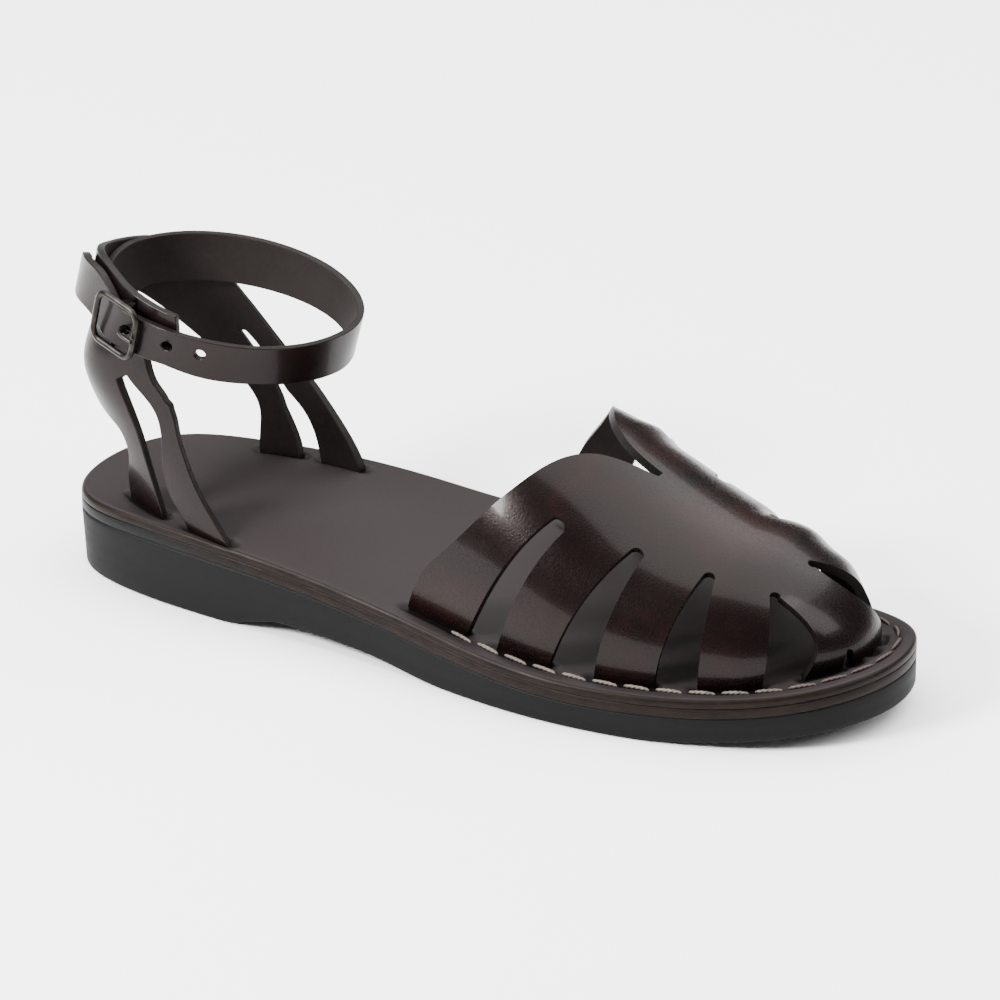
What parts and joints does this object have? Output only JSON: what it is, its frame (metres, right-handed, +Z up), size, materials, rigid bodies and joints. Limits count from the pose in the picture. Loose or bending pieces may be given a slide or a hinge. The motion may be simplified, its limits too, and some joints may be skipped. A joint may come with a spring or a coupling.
{
  "type": "leather strap sandal",
  "caption": "Right-foot leather sandal: cut-out strap vamp over a stacked leather footbed and rubber wedge sole, slotted side quarters and a buckled ankle strap.",
  "frame": {"origin": "on the floor, in the flat tread of the heel, 31.5 mm in front of the back of the sole", "axes": "+X towards the toe, +Y towards the inner side of the foot, +Z up"},
  "size_m": [0.2556, 0.0933, 0.0968],
  "materials": {
    "outsole_rubber": "matt",
    "midsole_leather": "burnished",
    "insole_leather": "smooth matt",
    "vamp_leather": "polished",
    "strap_leather": "polished",
    "inner_quarter_leather": "polished",
    "buckle_metal": "dark antique"
  },
  "bodies": {
    "root": {"outsole": "outsole_rubber", "midsole": "midsole_leather", "insole": "insole_leather", "vamp": "vamp_leather", "outer_quarter_strap": "strap_leather", "inner_quarter_strap": "inner_quarter_leather", "buckle_frame": "buckle_metal", "buckle_prong": "buckle_metal"}
  },
  "joints": []
}
